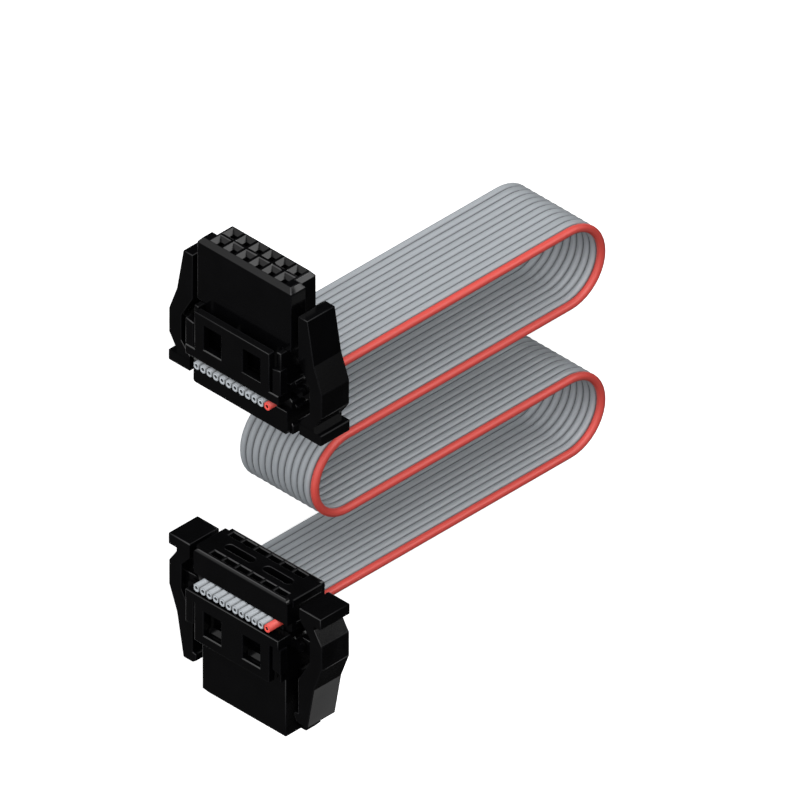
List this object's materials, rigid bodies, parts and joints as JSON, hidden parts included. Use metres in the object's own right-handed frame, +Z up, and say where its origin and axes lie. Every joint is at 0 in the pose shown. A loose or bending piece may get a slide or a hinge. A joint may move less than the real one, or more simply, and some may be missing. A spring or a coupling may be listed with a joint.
{
  "type": "ribbon cable",
  "caption": "Flat grey ribbon cable with a red edge wire, folded back and forth, with a black latched female connector crimped on each end.",
  "frame": {"origin": "on the ground under the middle of the two connectors, halfway between their mating faces", "axes": "+Y out of the upper connector, square to its mating face; +X along the ribbon towards the far folds; +Z up, along the rows of contacts to within the rest tilt of 7.4 degrees"},
  "size_m": [0.0342, 0.0388, 0.0154],
  "materials": {
    "grey_insulation": "satin PVC",
    "red_insulation": "satin PVC",
    "tinned_wire": "tinned copper",
    "contact_metal": "plated sheet",
    "black_moulding": "satin moulded"
  },
  "bodies": {
    "cable": {"ribbon_insulation": "grey_insulation", "edge_insulation": "red_insulation", "conductor_1": "tinned_wire", "conductor_2": "tinned_wire", "conductor_3": "tinned_wire", "conductor_4": "tinned_wire", "conductor_5": "tinned_wire", "conductor_6": "tinned_wire", "conductor_7": "tinned_wire", "conductor_8": "tinned_wire", "conductor_9": "tinned_wire", "conductor_10": "tinned_wire", "conductor_11": "tinned_wire", "conductor_12": "tinned_wire", "lower_contact_block": "black_moulding", "lower_frame": "black_moulding", "lower_cover": "black_moulding", "upper_contact_block": "black_moulding", "upper_frame": "black_moulding", "upper_cover": "black_moulding", "lower_contact_1": "contact_metal", "lower_contact_2": "contact_metal", "lower_contact_3": "contact_metal", "lower_contact_4": "contact_metal", "lower_contact_5": "contact_metal", "lower_contact_6": "contact_metal", "lower_contact_7": "contact_metal", "lower_contact_8": "contact_metal", "lower_contact_9": "contact_metal", "lower_contact_10": "contact_metal", "lower_contact_11": "contact_metal", "lower_contact_12": "contact_metal", "upper_contact_1": "contact_metal", "upper_contact_2": "contact_metal", "upper_contact_3": "contact_metal", "upper_contact_4": "contact_metal", "upper_contact_5": "contact_metal", "upper_contact_6": "contact_metal", "upper_contact_7": "contact_metal", "upper_contact_8": "contact_metal", "upper_contact_9": "contact_metal", "upper_contact_10": "contact_metal", "upper_contact_11": "contact_metal", "upper_contact_12": "contact_metal"},
    "lower_left_lever": {"lower_left_lever": "black_moulding"},
    "lower_right_lever": {"lower_right_lever": "black_moulding"},
    "upper_left_lever": {"upper_left_lever": "black_moulding"},
    "upper_right_lever": {"upper_right_lever": "black_moulding"}
  },
  "joints": [
    {"name": "lower_left_lever_pivot", "type": "hinge", "parent": "cable", "child": "lower_left_lever", "pos_m": [-0.00069, -0.01093, 0.0024], "axis": [0.9917, 0, -0.1287], "range_deg": [0, 8], "stiffness_Nm_per_rad": 0.01, "springref_deg": -11.46},
    {"name": "lower_right_lever_pivot", "type": "hinge", "parent": "cable", "child": "lower_right_lever", "pos_m": [0.00069, -0.01093, 0.01297], "axis": [-0.9917, 0, 0.1287], "range_deg": [0, 8], "stiffness_Nm_per_rad": 0.01, "springref_deg": -11.46},
    {"name": "upper_left_lever_pivot", "type": "hinge", "parent": "cable", "child": "upper_left_lever", "pos_m": [-0.00069, 0.01093, 0.0024], "axis": [-0.9917, 0, 0.1287], "range_deg": [0, 8], "stiffness_Nm_per_rad": 0.01, "springref_deg": -11.46},
    {"name": "upper_right_lever_pivot", "type": "hinge", "parent": "cable", "child": "upper_right_lever", "pos_m": [0.00069, 0.01093, 0.01297], "axis": [0.9917, 0, -0.1287], "range_deg": [0, 8], "stiffness_Nm_per_rad": 0.01, "springref_deg": -11.46}
  ]
}
